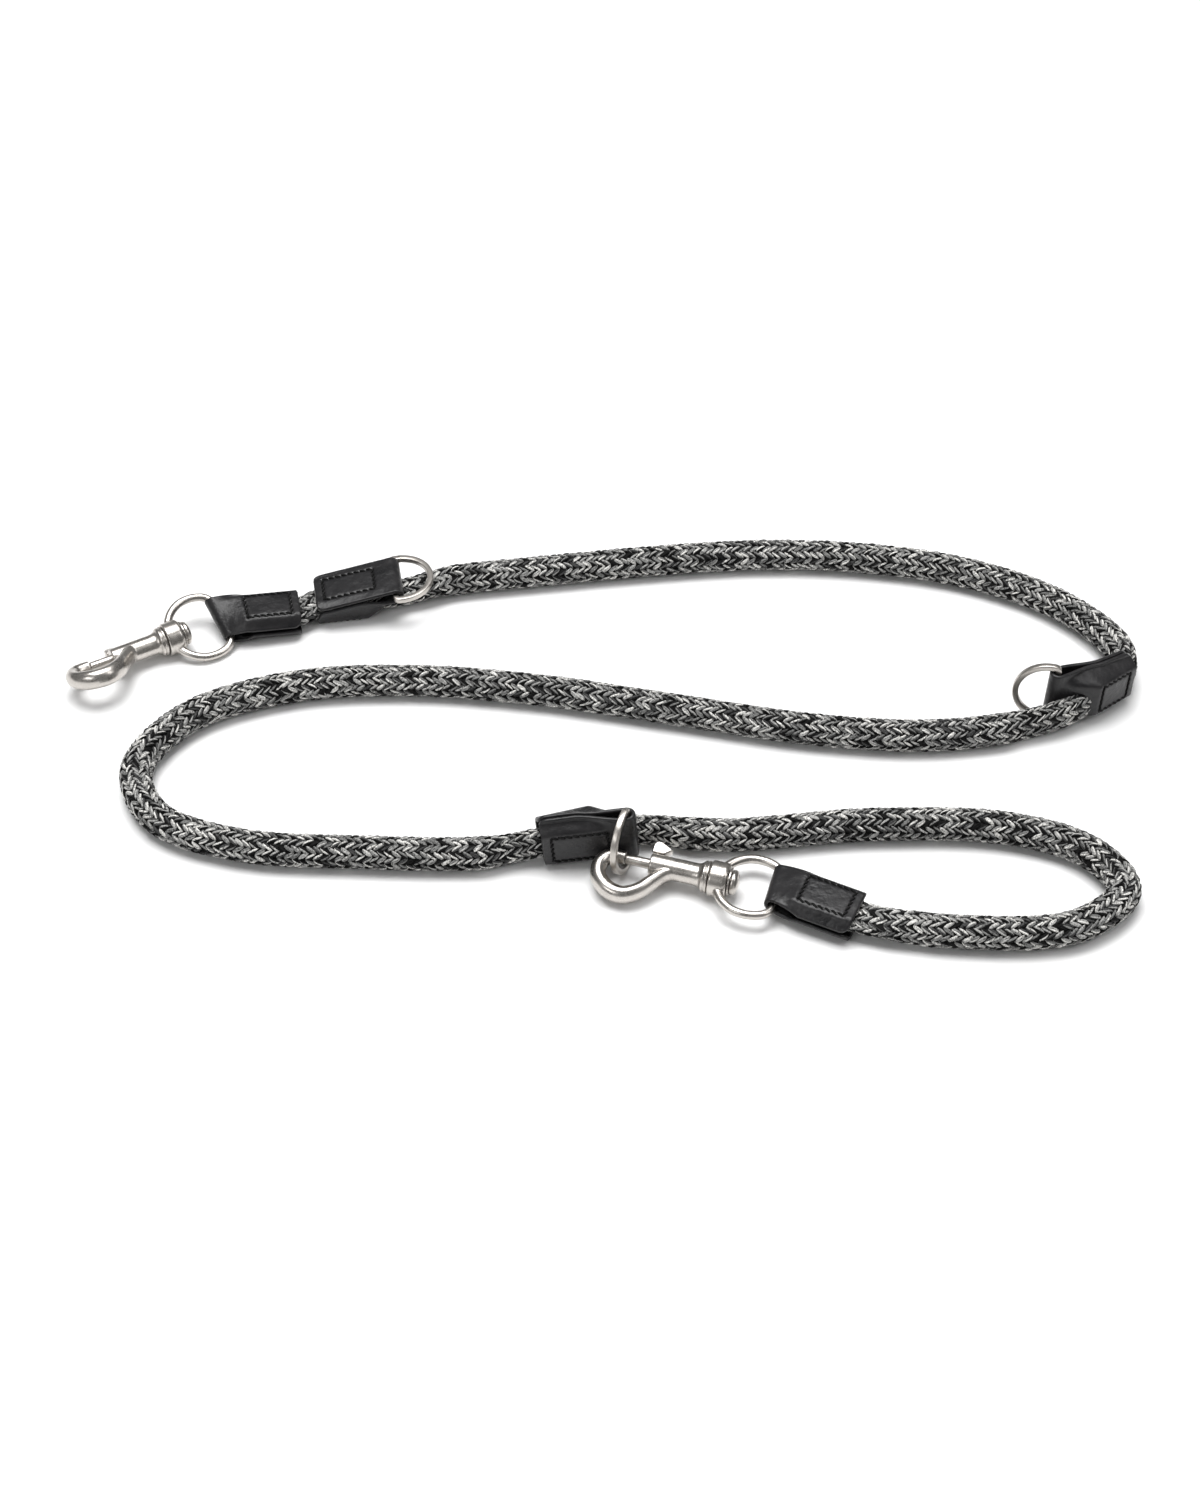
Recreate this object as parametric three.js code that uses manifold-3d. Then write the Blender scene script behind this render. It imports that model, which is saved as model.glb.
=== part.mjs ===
// Training leash: a knitted rope with a swivel bolt snap at each end and three D-rings held in leather keepers.
// Millimetres, +Z up. The leash lies on a flat surface at z = 0. The origin is on that surface, under the
// middle of the box round the leather and the metal fittings.
import * as THREE from "three";
import { mergeVertices } from "three/addons/utils/BufferGeometryUtils.js";
import Module from "manifold-3d";

// ---------- driving dimensions ----------
const ROPE_R = 7.4; // knitted cover, outside
const COVER_WALL = 1.9;
const CORE_GAP = 1;
const ROPE_SIDES = 8;
const ROPE_STEPS = 80;
const ROPE_FLAT_R = 4.4; // half thickness of the rope where leather squeezes it
const ROPE_WIDE_R = 8.4; // half width there
const CUT_GAP = 0.45; // room between leather and what it holds

const STRAP_W = 25.6;
const LEATHER = 1.9;
const HALF_T = ROPE_FLAT_R + CUT_GAP + LEATHER; // half thickness of a strap folded over the rope
const WRAP_L = 41;
const KEEPER_L = 42;
const FOLD_R = 4; // outside radius of a fold round a bar
const BAR_ROOM_R = 2.35;
const BAR_LIFT = 8.9; // a keeper's ring bar above the middle of its rope
const TWIST_T = 23; // where a strap begins to turn with its fold
const HOLE_T = 24; // where a keeper's hole begins
const CREST_V = 7.6; // half width of the flat crest over the rope
const SEAM_V = 12.6; // where the two layers have come together
const STITCH_T = [4.5, 21.5]; // stitched rectangle along the strap
const STITCH_V = 7; // and its half width
const THREAD = 0.8;
const GROOVE = 0.75; // depth of the channel that a row of stitches lies in

const RING_W = 32.4; // D-ring, outside, along the bar
const RING_D = 20.6; // D-ring, outside, from bar to crown
const RING_STOCK = 2.8;

const BARREL_R = 5;
const BARREL_FRONT = -26.5; // along the snap's axis; 0 is the swivel face, plus is towards the eye
const FLANGE_R = 7.2;
const BORE_R = 2.75;
const BORE_END = -6.3;
const BOLT_R = 2.3;
const NOSE_FACE = -37.6;
const BOLT_TRAVEL = 9.5;
const KNOB_AT = -24.4;
const SLOT_HALF = 1.6;
const TAIL_R = 0.9;
const SPRING_R = 1.75;
const SPRING_WIRE = 0.55;
const SPRING_COILS = 5;
const BOSS_R = 7.9;
const BOSS_L = 8.1;
const PIVOT_R = 2.4;
const EYE_WIRE = 1.55;
const EYE_BAR = 30;
const FACE_GAP = 0.35;

// the middle of the fittings' box, in the coordinates of the route below
const ORIGIN = [0.4, 5.7];

// the rope's centre line, from the lead snap to the handle snap
const ROUTE = [
  [-170, 89.7, 6.8], [-144, 94.8, 6.8], [-134, 102, 6.8], [-112, 105.7, 6.4], [-94, 110, 6.4],
  [-76, 116, 7.4], [-41, 122, 7.5], [75, 135.8, 7.5], [133.5, 132.7, 7.5],
  [180, 121.5, 7.5], [219, 100, 7.5], [242.5, 71, 8], [243, 45.6, 11], [231, 35.4, 11.8],
  [216, 23.4, 10], [187, 14.5, 7.5], [145, 9.3, 7.5], [92, 14.2, 7.5], [32, 27, 7.5],
  [-30, 39.8, 7.5], [-89, 46, 7.5], [-145, 41.3, 7.5], [-189, 21, 7.5], [-208.5, -12, 7.5],
  [-196, -42.5, 7.5], [-160, -59, 7.5], [-103, -63.8, 7.5], [-52, -64.5, 7.8], [-27.5, -61.3, 10.5],
  [0, -54.8, 11.5], [20, -52, 9.3], [55, -53.5, 7.5], [117, -47.2, 7.5], [180, -49.5, 7.5],
  [214, -64, 7.5], [226, -86, 7.5], [203, -107, 7.5], [150, -110, 7.4], [110.2, -101.4, 6.8],
  [85.6, -90.2, 6.8],
];

// ---------- frames ----------
const rad = THREE.MathUtils.degToRad;
const xAxis = new THREE.Vector3(1, 0, 0);

// x of the frame along heading and pitch, z towards `lean` degrees round x from straight up
function frame(at, heading, pitch, lean) {
  const turn = new THREE.Matrix4().makeRotationZ(rad(heading));
  turn.multiply(new THREE.Matrix4().makeRotationY(rad(-pitch)));
  turn.multiply(new THREE.Matrix4().makeRotationX(rad(lean)));
  return turn.setPosition(at[0], at[1], at[2]);
}

// straps: x from the open end to the fold, y across the strap, z towards the ring side.
// edge: half thickness at the long edges. ropeAt: the rope's place across the strap.
// foldWidth: the fold's share of the strap's width. skew, twist: how the fold is turned, in degrees.
const WRAPS = {
  lead: {
    at: [-143.5, 94.8, 6.8], heading: 191, pitch: 2.3, lean: 0,
    edge: 4.4, ropeAt: 0, foldWidth: 0.84, skew: -19, twist: -20,
  },
  handle: {
    at: [110.2, -101.4, 6.8], heading: 155.5, pitch: 2.3, lean: 0,
    edge: 4.4, ropeAt: 0, foldWidth: 0.84, skew: -9, twist: 0,
  },
};
const KEEPERS = {
  lead: {
    at: [-136.5, 101.8, 6.8], heading: 9, pitch: 0, lean: 0,
    edge: HALF_T, ropeAt: 0, foldWidth: 1, skew: 0, twist: 0,
  },
  middle: {
    at: [243, 45.6, 14], heading: 220, pitch: 3.6, lean: 90,
    edge: 2.3, ropeAt: -1.6, foldWidth: 1, skew: 0, twist: 0,
  },
  handle: {
    at: [-26.5, -61.5, 13.6], heading: 13.8, pitch: 4.5, lean: 90,
    edge: 2.3, ropeAt: -1.6, foldWidth: 1, skew: 0, twist: 0,
  },
};
// snaps: x along the axis from hook to eye, y in the plane of the eye
const SNAPS = {
  lead: { at: [-205.8, 72.7, 8.3], heading: 30, pitch: 0, roll: 23, eyeRoll: 20 },
  handle: { at: [47.3, -79.6, 8.4], heading: -15.5, pitch: -1.7, roll: -12, eyeRoll: 0 },
};
const RING_TURN = { lead: 3, middle: 50, handle: 125 };

// ---------- solids ----------
const wasm = await Module();
wasm.setup();

function solid(geometry) {
  const bare = geometry.index ? geometry.toNonIndexed() : geometry.clone();
  bare.deleteAttribute("normal");
  bare.deleteAttribute("uv");
  const merged = mergeVertices(bare, 1e-4);
  const mesh = new wasm.Mesh({
    numProp: 3,
    vertProperties: new Float32Array(merged.attributes.position.array),
    triVerts: new Uint32Array(merged.index.array),
  });
  return new wasm.Manifold(mesh);
}

function geometryOf(manifold) {
  const mesh = manifold.getMesh();
  const geometry = new THREE.BufferGeometry();
  geometry.setAttribute("position", new THREE.BufferAttribute(mesh.vertProperties, 3));
  geometry.setIndex(new THREE.BufferAttribute(mesh.triVerts, 1));
  return geometry;
}

// an outline in x and z, as thick as `width` across y
function plate(shape, width, options = {}) {
  const geometry = new THREE.ExtrudeGeometry(shape, { depth: width, bevelEnabled: false, ...options });
  return geometry.translate(0, 0, -width / 2).rotateX(Math.PI / 2);
}

// a body of revolution about x, from [x, radius] pairs that start and end on the axis
function turned(profile, segments) {
  const points = profile.map(([x, r]) => new THREE.Vector2(r, x));
  return new THREE.LatheGeometry(points, segments).rotateZ(-Math.PI / 2);
}

function rod(x0, x1, radius, segments = 16) {
  return turned([[x0, 0], [x0, radius], [x1, radius], [x1, 0]], segments);
}

function ovalShape(a, b, sides) {
  const shape = new THREE.Shape();
  for (let i = 0; i < sides; i++) {
    const turn = ((i + 0.5) / sides) * 2 * Math.PI;
    shape[i ? "lineTo" : "moveTo"](a * Math.cos(turn), b * Math.sin(turn));
  }
  return shape;
}

function swept(curve, shape, steps) {
  return new THREE.ExtrudeGeometry(shape, { extrudePath: curve, steps, bevelEnabled: false });
}

function curveOf(points) {
  return new THREE.CatmullRomCurve3(points.map((p) => new THREE.Vector3(...p)), false, "centripetal");
}

// ---------- the rope ----------
const routeCurve = curveOf(ROUTE);
const stations = routeCurve.getSpacedPoints(ROPE_STEPS);

function stationOf(p) {
  let best = stations[0];
  for (const station of stations) {
    if (station.distanceToSquared(p) < best.distanceToSquared(p)) best = station;
  }
  return best;
}

const strapFrames = [...Object.values(WRAPS), ...Object.values(KEEPERS)].map((strap) => {
  return frame(strap.at, strap.heading, strap.pitch, strap.lean);
});

// leather flattens the rope along the strap's z and widens it along the strap's y
function squeeze(geometry) {
  const position = geometry.attributes.position;
  const p = new THREE.Vector3();
  for (let i = 0; i < position.count; i++) {
    p.fromBufferAttribute(position, i);
    const centre = stationOf(p);
    const offset = p.clone().sub(centre);
    for (const strap of strapFrames) {
      const local = centre.clone().applyMatrix4(strap.clone().invert());
      if (Math.abs(local.y) > 16 || Math.abs(local.z) > 14) continue;
      const outside = Math.max(-local.x, local.x - KEEPER_L, 0);
      const share = 1 - THREE.MathUtils.smoothstep(outside, 12, 26);
      const across = new THREE.Vector3().setFromMatrixColumn(strap, 1);
      const through = new THREE.Vector3().setFromMatrixColumn(strap, 2);
      const wide = share * (ROPE_WIDE_R / ROPE_R - 1) * offset.dot(across);
      const flat = share * (ROPE_FLAT_R / ROPE_R - 1) * offset.dot(through);
      p.addScaledVector(across, wide).addScaledVector(through, flat);
      if (share > 0) break;
    }
    position.setXYZ(i, p.x, p.y, p.z);
  }
  return geometry;
}

function ropeTube(outer, inner) {
  const shape = ovalShape(outer, outer, ROPE_SIDES);
  if (inner) shape.holes.push(ovalShape(inner, inner, ROPE_SIDES));
  return squeeze(swept(routeCurve, shape, ROPE_STEPS));
}

const ropeRoom = solid(ropeTube(ROPE_R + CUT_GAP * 1.35));

// ---------- materials ----------
const yarn = new THREE.MeshStandardMaterial({ color: 0x77787a, roughness: 0.95, metalness: 0 });
const coreYarn = new THREE.MeshStandardMaterial({ color: 0x2e2e30, roughness: 1, metalness: 0 });
const hide = new THREE.MeshStandardMaterial({ color: 0x1b1b1c, roughness: 0.5, metalness: 0 });
const thread = new THREE.MeshStandardMaterial({ color: 0x101011, roughness: 0.75, metalness: 0 });
const nickel = new THREE.MeshStandardMaterial({ color: 0xb9b3ac, roughness: 0.34, metalness: 1 });
const springSteel = new THREE.MeshStandardMaterial({ color: 0x9a9a9c, roughness: 0.3, metalness: 1 });

const leash = new THREE.Group();
leash.position.set(-ORIGIN[0], -ORIGIN[1], 0);

function place(name, geometry, material, matrix) {
  const mesh = new THREE.Mesh(geometry, material);
  mesh.name = name;
  if (matrix) matrix.decompose(mesh.position, mesh.quaternion, mesh.scale);
  leash.add(mesh);
}

place("rope_cover", ropeTube(ROPE_R, ROPE_R - COVER_WALL), yarn);
place("rope_core", ropeTube(ROPE_R - COVER_WALL - CORE_GAP), coreYarn);

// ---------- the swivel snaps ----------
// hook stock: centre line [x, y] with half widths in the hook's plane and across it
const HOOK = [
  [-15, 1.2], [-19.5, 4], [-23.6, 8.8], [-27.8, 14.3], [-34, 17.9], [-40.6, 16.4],
  [-45.4, 11.2], [-46.4, 5.4], [-44.3, 1], [-40.8, -0.3], [NOSE_FACE, -0.3],
];
const HOOK_SECTION = { thin: 3.1, wide: 4.7, noseThin: 2.6, noseWide: 3.1 };

function hookStock() {
  const curve = curveOf(HOOK.map(([x, y]) => [x, y, 0]));
  const steps = 26;
  const geometry = swept(curve, ovalShape(1, 1, 10), steps);
  const samples = curve.getSpacedPoints(steps);
  const position = geometry.attributes.position;
  const p = new THREE.Vector3();
  for (let i = 0; i < position.count; i++) {
    p.fromBufferAttribute(position, i);
    let nearest = 0;
    for (let s = 1; s <= steps; s++) {
      if (samples[s].distanceToSquared(p) < samples[nearest].distanceToSquared(p)) nearest = s;
    }
    const centre = samples[nearest];
    const share = THREE.MathUtils.smoothstep(nearest / steps, 0.6, 0.95);
    const thin = THREE.MathUtils.lerp(HOOK_SECTION.thin, HOOK_SECTION.noseThin, share);
    const wide = THREE.MathUtils.lerp(HOOK_SECTION.wide, HOOK_SECTION.noseWide, share);
    p.sub(centre);
    p.set(centre.x + p.x * thin, centre.y + p.y * thin, p.z * wide);
    position.setXYZ(i, p.x, p.y, p.z);
  }
  return geometry;
}

function snapBody() {
  const barrel = turned(
    [
      [BARREL_FRONT, 0], [BARREL_FRONT, BARREL_R], [-6, BARREL_R], [-3.2, 5.6],
      [-1.6, FLANGE_R], [0, FLANGE_R], [0, 0],
    ],
    24,
  );
  const bore = rod(BARREL_FRONT - 0.5, BORE_END, BORE_R);
  const boltWay = rod(NOSE_FACE, BARREL_FRONT, BOLT_R + 0.4);
  const pivotHole = rod(-4.8, 0.5, PIVOT_R + 0.35);
  const slotLength = BOLT_TRAVEL + 2 * SLOT_HALF;
  const slot = new THREE.BoxGeometry(slotLength, BARREL_R + 1, 2 * SLOT_HALF);
  slot.translate(KNOB_AT - SLOT_HALF + slotLength / 2, -(BARREL_R + 1) / 2, 0);
  let body = solid(barrel).add(solid(hookStock()));
  for (const cut of [bore, boltWay, pivotHole, slot]) body = body.subtract(solid(cut));
  return geometryOf(body);
}

function bolt() {
  const shoulder = -19.8;
  const profile = [
    [NOSE_FACE + 0.4, 0], [NOSE_FACE + 0.4, BOLT_R - 0.5], [NOSE_FACE + 0.9, BOLT_R], [shoulder, BOLT_R],
    [shoulder, TAIL_R], [-16.6, TAIL_R], [-16.6, 0],
  ];
  const socket = new THREE.CylinderGeometry(1.35, 1.35, BOLT_R + 1, 12);
  socket.translate(KNOB_AT, -(BOLT_R + 1) / 2 - 0.2, 0);
  return geometryOf(solid(turned(profile, 16)).subtract(solid(socket)));
}

// the catch a thumb pulls back: a post into the bolt and a wedge outside the barrel
function thumbKnob() {
  const post = new THREE.CylinderGeometry(1, 1, 5.4, 12);
  post.translate(KNOB_AT, -3.4, 0);
  const wedge = new THREE.Shape();
  wedge.moveTo(KNOB_AT - 2.6, -5.9);
  wedge.lineTo(KNOB_AT + 2.4, -5.9);
  wedge.lineTo(KNOB_AT + 5.8, -8.2);
  wedge.lineTo(KNOB_AT + 0.6, -10.6);
  wedge.quadraticCurveTo(KNOB_AT - 1.6, -11.4, KNOB_AT - 2.2, -9.6);
  wedge.closePath();
  const bevel = { depth: 2, bevelEnabled: true, bevelSize: 0.5, bevelThickness: 0.7, bevelSegments: 1 };
  const block = new THREE.ExtrudeGeometry(wedge, { ...bevel, curveSegments: 4 }).translate(0, 0, -1);
  return geometryOf(solid(post).add(solid(block)));
}

class Helix extends THREE.Curve {
  getPoint(t) {
    const turn = t * SPRING_COILS * 2 * Math.PI;
    const x = THREE.MathUtils.lerp(-19.2, BORE_END - 0.6, t);
    return new THREE.Vector3(x, SPRING_R * Math.cos(turn), SPRING_R * Math.sin(turn));
  }
}

function spring() {
  return swept(new Helix(), ovalShape(SPRING_WIRE / 2, SPRING_WIRE / 2, 5), SPRING_COILS * 9);
}

const EYE_SIDE = [
  [4.2, 4.6], [5.8, 8.4], [9, 12.4], [13.6, 15.4], [18.6, 16.4], [23.6, 15.8], [27.6, 13.8], [29.7, 10.6],
];

function eyeLoop() {
  const side = EYE_SIDE.map(([x, y]) => [x, y, 0]);
  const other = EYE_SIDE.map(([x, y]) => [x, -y, 0]).reverse();
  const bar = [[EYE_BAR, 6, 0], [EYE_BAR, 0, 0], [EYE_BAR, -6, 0]];
  return solid(swept(curveOf([...side, ...bar, ...other]), ovalShape(EYE_WIRE, EYE_WIRE, 8), 38));
}

function swivelEye() {
  const boss = turned(
    [
      [FACE_GAP, 0], [FACE_GAP, BOSS_R - 0.6], [FACE_GAP + 0.6, BOSS_R],
      [BOSS_L - 0.3, BOSS_R], [BOSS_L + FACE_GAP, BOSS_R - 0.7], [BOSS_L + FACE_GAP, 0],
    ],
    24,
  );
  const hole = rod(-1, BOSS_L + 2, PIVOT_R + 0.35);
  return geometryOf(eyeLoop().add(solid(boss)).subtract(solid(hole)));
}

function washer() {
  const start = BOSS_L + 2 * FACE_GAP;
  const disc = solid(rod(start, start + 0.8, 6.3, 24));
  return geometryOf(disc.subtract(solid(rod(start - 1, start + 2, PIVOT_R + 0.35))));
}

function rivet() {
  const head = BOSS_L + 3 * FACE_GAP + 0.8;
  return turned(
    [
      [-4.4, 0], [-4.4, PIVOT_R], [head, PIVOT_R], [head, 5.6], [head + 1.2, 5.3],
      [head + 2.4, 4], [head + 3, 2.2], [head + 3.2, 0],
    ],
    20,
  );
}

// a strap's fold leaves room for the eye's bar to turn in it
function eyePocket() {
  const [[cornerX, cornerY], [bendX, bendY]] = [EYE_SIDE.at(-1), EYE_SIDE.at(-2)];
  const middle = EYE_WIRE + CUT_GAP;
  const corner = EYE_BAR - cornerX + middle;
  const bend = EYE_BAR - bendX + middle;
  const half = [[0, middle], [6, middle], [cornerY, corner], [bendY, bend], [bendY, 0]];
  const other = half.slice(1).map(([y, r]) => [-y, r]).reverse();
  return turned([...other, ...half.slice(1)], 16).rotateZ(Math.PI / 2).translate(EYE_BAR, 0, 0);
}

const eyeRoom = {};
for (const [end, snap] of Object.entries(SNAPS)) {
  const eyeFrame = frame(snap.at, snap.heading, snap.pitch, snap.eyeRoll);
  const hookFrame = frame(snap.at, snap.heading, snap.pitch, 180 - snap.roll);
  place(`${end}_snap_body`, snapBody(), nickel, hookFrame);
  place(`${end}_snap_bolt`, bolt(), nickel, hookFrame);
  place(`${end}_snap_thumb_knob`, thumbKnob(), nickel, hookFrame);
  place(`${end}_snap_spring`, spring(), springSteel, hookFrame);
  place(`${end}_swivel_rivet`, rivet(), nickel, hookFrame);
  place(`${end}_swivel_washer`, washer(), nickel, hookFrame);
  place(`${end}_swivel_eye`, swivelEye(), nickel, eyeFrame);
  eyeRoom[end] = solid(eyePocket()).transform(eyeFrame.toArray());
}

// ---------- leather and rings ----------
function wrapOutline() {
  const bar = WRAP_L - FOLD_R;
  const shape = new THREE.Shape();
  shape.moveTo(0, -HALF_T);
  shape.lineTo(27, -HALF_T);
  shape.lineTo(bar, -FOLD_R);
  shape.absarc(bar, 0, FOLD_R, -Math.PI / 2, Math.PI / 2, false);
  shape.lineTo(27, HALF_T);
  shape.lineTo(0, HALF_T);
  shape.closePath();
  return shape;
}

function keeperOutline() {
  const bar = KEEPER_L - FOLD_R;
  const shape = new THREE.Shape();
  shape.moveTo(0, -HALF_T);
  shape.lineTo(HOLE_T, -HALF_T);
  shape.lineTo(bar, BAR_LIFT - FOLD_R);
  shape.absarc(bar, BAR_LIFT, FOLD_R, -Math.PI / 2, Math.PI / 2, false);
  shape.lineTo(0, HALF_T);
  shape.closePath();
  return shape;
}

// leather and stitches are made in the strap's frame, cut in the route's frame and placed as cut
function strapSolid(outline, strap) {
  const geometry = plate(outline, STRAP_W, { curveSegments: 6, steps: 10 });
  const position = geometry.attributes.position;
  const slope = Math.tan(rad(strap.skew));
  const twist = rad(strap.twist);
  const p = new THREE.Vector3();
  for (let i = 0; i < position.count; i++) {
    p.fromBufferAttribute(position, i);
    const share = THREE.MathUtils.clamp((p.x - TWIST_T) / (WRAP_L - FOLD_R - TWIST_T), 0, 1);
    const slant = THREE.MathUtils.smoothstep(Math.abs(p.y - strap.ropeAt), CREST_V, SEAM_V);
    const pressed = (1 - share) * slant * (1 - strap.edge / HALF_T);
    p.z *= 1 - pressed;
    p.y *= 1 - share * (1 - strap.foldWidth);
    p.x += share * slope * p.y;
    p.applyAxisAngle(xAxis, share * twist);
    position.setXYZ(i, p.x, p.y, p.z);
  }
  return solid(geometry).transform(strapMatrix(strap).toArray());
}

function strapMatrix(strap) {
  return frame(strap.at, strap.heading, strap.pitch, strap.lean);
}

function stitchFrame(wide, deep) {
  const [t0, t1] = STITCH_T;
  const outer = rectangle(t0 - wide / 2, t1 + wide / 2, STITCH_V + wide / 2);
  outer.holes.push(rectangle(t0 + wide / 2, t1 - wide / 2, STITCH_V - wide / 2));
  return new THREE.ExtrudeGeometry(outer, { depth: deep, bevelEnabled: false });
}

function rectangle(x0, x1, y) {
  return new THREE.Shape([[x0, -y], [x1, -y], [x1, y], [x0, y]].map(([u, v]) => new THREE.Vector2(u, v)));
}

// each side's seam lies in a groove; `rise` is the slope of the upper side along the strap
function seams(strap, rise) {
  const upper = new THREE.Matrix4().makeRotationY(-rise).setPosition(0, strap.ropeAt, HALF_T);
  const lower = new THREE.Matrix4().makeRotationX(Math.PI).setPosition(0, strap.ropeAt, -HALF_T);
  return { needle: strapMatrix(strap).multiply(upper), bobbin: strapMatrix(strap).multiply(lower) };
}

function sewn(name, leather, seam) {
  let cut = leather;
  for (const [side, matrix] of Object.entries(seam)) {
    const groove = stitchFrame(THREAD + 2 * FACE_GAP, 2 * GROOVE).translate(0, 0, -GROOVE);
    cut = cut.subtract(solid(groove).transform(matrix.toArray()));
    const lying = stitchFrame(THREAD, THREAD / 2).translate(0, 0, FACE_GAP - GROOVE);
    place(`${name}_${side}_thread`, lying, thread, matrix);
  }
  place(name, geometryOf(cut), hide);
}

for (const [end, strap] of Object.entries(WRAPS)) {
  const leather = strapSolid(wrapOutline(), strap).subtract(ropeRoom).subtract(eyeRoom[end]);
  sewn(`${end}_snap_strap`, leather, seams(strap, 0));
}

// a D: straight bar on the y axis through the origin, crown towards +x
function ringOutline(grow) {
  const half = RING_W / 2 + grow;
  const back = -RING_STOCK / 2 - grow;
  const shoulder = 3.2;
  const crown = RING_D - RING_STOCK / 2 + grow;
  const shape = new THREE.Shape();
  shape.moveTo(back, -half);
  shape.lineTo(shoulder, -half);
  shape.absellipse(shoulder, 0, crown - shoulder, half, -Math.PI / 2, Math.PI / 2, false, 0);
  shape.lineTo(back, half);
  shape.closePath();
  return shape;
}

function dRing() {
  const shape = ringOutline(0);
  shape.holes.push(ringOutline(-RING_STOCK));
  const options = { depth: RING_STOCK, bevelEnabled: false, curveSegments: 14 };
  return new THREE.ExtrudeGeometry(shape, options).translate(0, 0, -RING_STOCK / 2);
}

for (const [spot, strap] of Object.entries(KEEPERS)) {
  const toBar = new THREE.Matrix4().makeTranslation(KEEPER_L - FOLD_R, 0, BAR_LIFT);
  const barFrame = strapMatrix(strap).multiply(toBar);
  const barRoom = new THREE.CylinderGeometry(BAR_ROOM_R, BAR_ROOM_R, STRAP_W + 4, 12);
  const channel = solid(barRoom).transform(barFrame.toArray());
  const leather = strapSolid(keeperOutline(), strap).subtract(ropeRoom).subtract(channel);
  const rise = Math.atan2(BAR_LIFT + FOLD_R - HALF_T, KEEPER_L - FOLD_R);
  sewn(`${spot}_ring_keeper`, leather, seams(strap, rise));
  const turn = new THREE.Matrix4().makeRotationY(rad(-RING_TURN[spot]));
  place(`${spot}_d_ring`, dRing(), nickel, barFrame.clone().multiply(turn));
}

export default leash;
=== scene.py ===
import math
import bpy
import numpy as np
from mathutils import Matrix, Vector


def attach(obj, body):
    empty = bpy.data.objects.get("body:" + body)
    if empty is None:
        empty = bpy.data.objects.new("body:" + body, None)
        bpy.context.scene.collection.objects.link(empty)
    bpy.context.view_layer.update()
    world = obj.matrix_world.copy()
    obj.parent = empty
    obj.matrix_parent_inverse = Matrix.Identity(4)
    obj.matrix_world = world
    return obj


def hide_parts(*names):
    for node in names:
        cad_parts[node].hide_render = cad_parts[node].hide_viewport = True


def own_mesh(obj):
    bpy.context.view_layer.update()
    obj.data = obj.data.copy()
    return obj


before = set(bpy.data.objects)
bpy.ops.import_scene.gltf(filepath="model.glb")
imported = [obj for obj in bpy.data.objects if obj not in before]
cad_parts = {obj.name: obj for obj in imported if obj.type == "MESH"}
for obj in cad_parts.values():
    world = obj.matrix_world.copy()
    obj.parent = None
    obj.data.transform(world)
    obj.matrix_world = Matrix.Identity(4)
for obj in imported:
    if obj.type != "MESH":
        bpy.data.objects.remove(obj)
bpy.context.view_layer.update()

MM = 0.001
ROW_ORIGIN = np.array([0.4, 5.7, 0.0])  # the row frame's origin in the route's coordinates, mm

# ---------- sizes, mm, as in the CAD ----------
ROPE_R = 7.4
ROPE_FLAT_R = 4.4
ROPE_WIDE_R = 8.4
STRAP_W = 25.6
LEATHER = 1.9
HALF_T = 6.75
WRAP_L = 41.0
KEEPER_L = 42.0
FOLD_R = 4.0
BAR_LIFT = 8.9
TWIST_T = 23.0
HOLE_T = 24.0
CREST_V = 7.6
SEAM_V = 12.6
RING_W = 32.4
RING_D = 20.6
RING_STOCK = 2.8
BARREL_FRONT = -26.5
BORE_R = 2.75
BORE_END = -6.3
BOLT_R = 2.3
NOSE_FACE = -37.6
BOLT_TRAVEL = 9.5
KNOB_AT = -24.4
SLOT_HALF = 1.6
SPRING_R = 1.75
SPRING_COILS = 5
BOSS_R = 7.9
BOSS_L = 8.1
PIVOT_R = 2.4
EYE_WIRE = 1.55
EYE_BAR = 30.0
FACE_GAP = 0.35

ROUTE = [
    (-170, 89.7, 6.8), (-144, 94.8, 6.8), (-134, 102, 6.8), (-112, 105.7, 6.4), (-94, 110, 6.4),
    (-76, 116, 7.4), (-41, 122, 7.5), (75, 135.8, 7.5), (133.5, 132.7, 7.5),
    (180, 121.5, 7.5), (219, 100, 7.5), (242.5, 71, 8), (243, 45.6, 11), (231, 35.4, 11.8),
    (216, 23.4, 10), (187, 14.5, 7.5), (145, 9.3, 7.5), (92, 14.2, 7.5), (32, 27, 7.5),
    (-30, 39.8, 7.5), (-89, 46, 7.5), (-145, 41.3, 7.5), (-189, 21, 7.5), (-208.5, -12, 7.5),
    (-196, -42.5, 7.5), (-160, -59, 7.5), (-103, -63.8, 7.5), (-52, -64.5, 7.8), (-27.5, -61.3, 10.5),
    (0, -54.8, 11.5), (20, -52, 9.3), (55, -53.5, 7.5), (117, -47.2, 7.5), (180, -49.5, 7.5),
    (214, -64, 7.5), (226, -86, 7.5), (203, -107, 7.5), (150, -110, 7.4), (110.2, -101.4, 6.8),
    (85.6, -90.2, 6.8),
]

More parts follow.
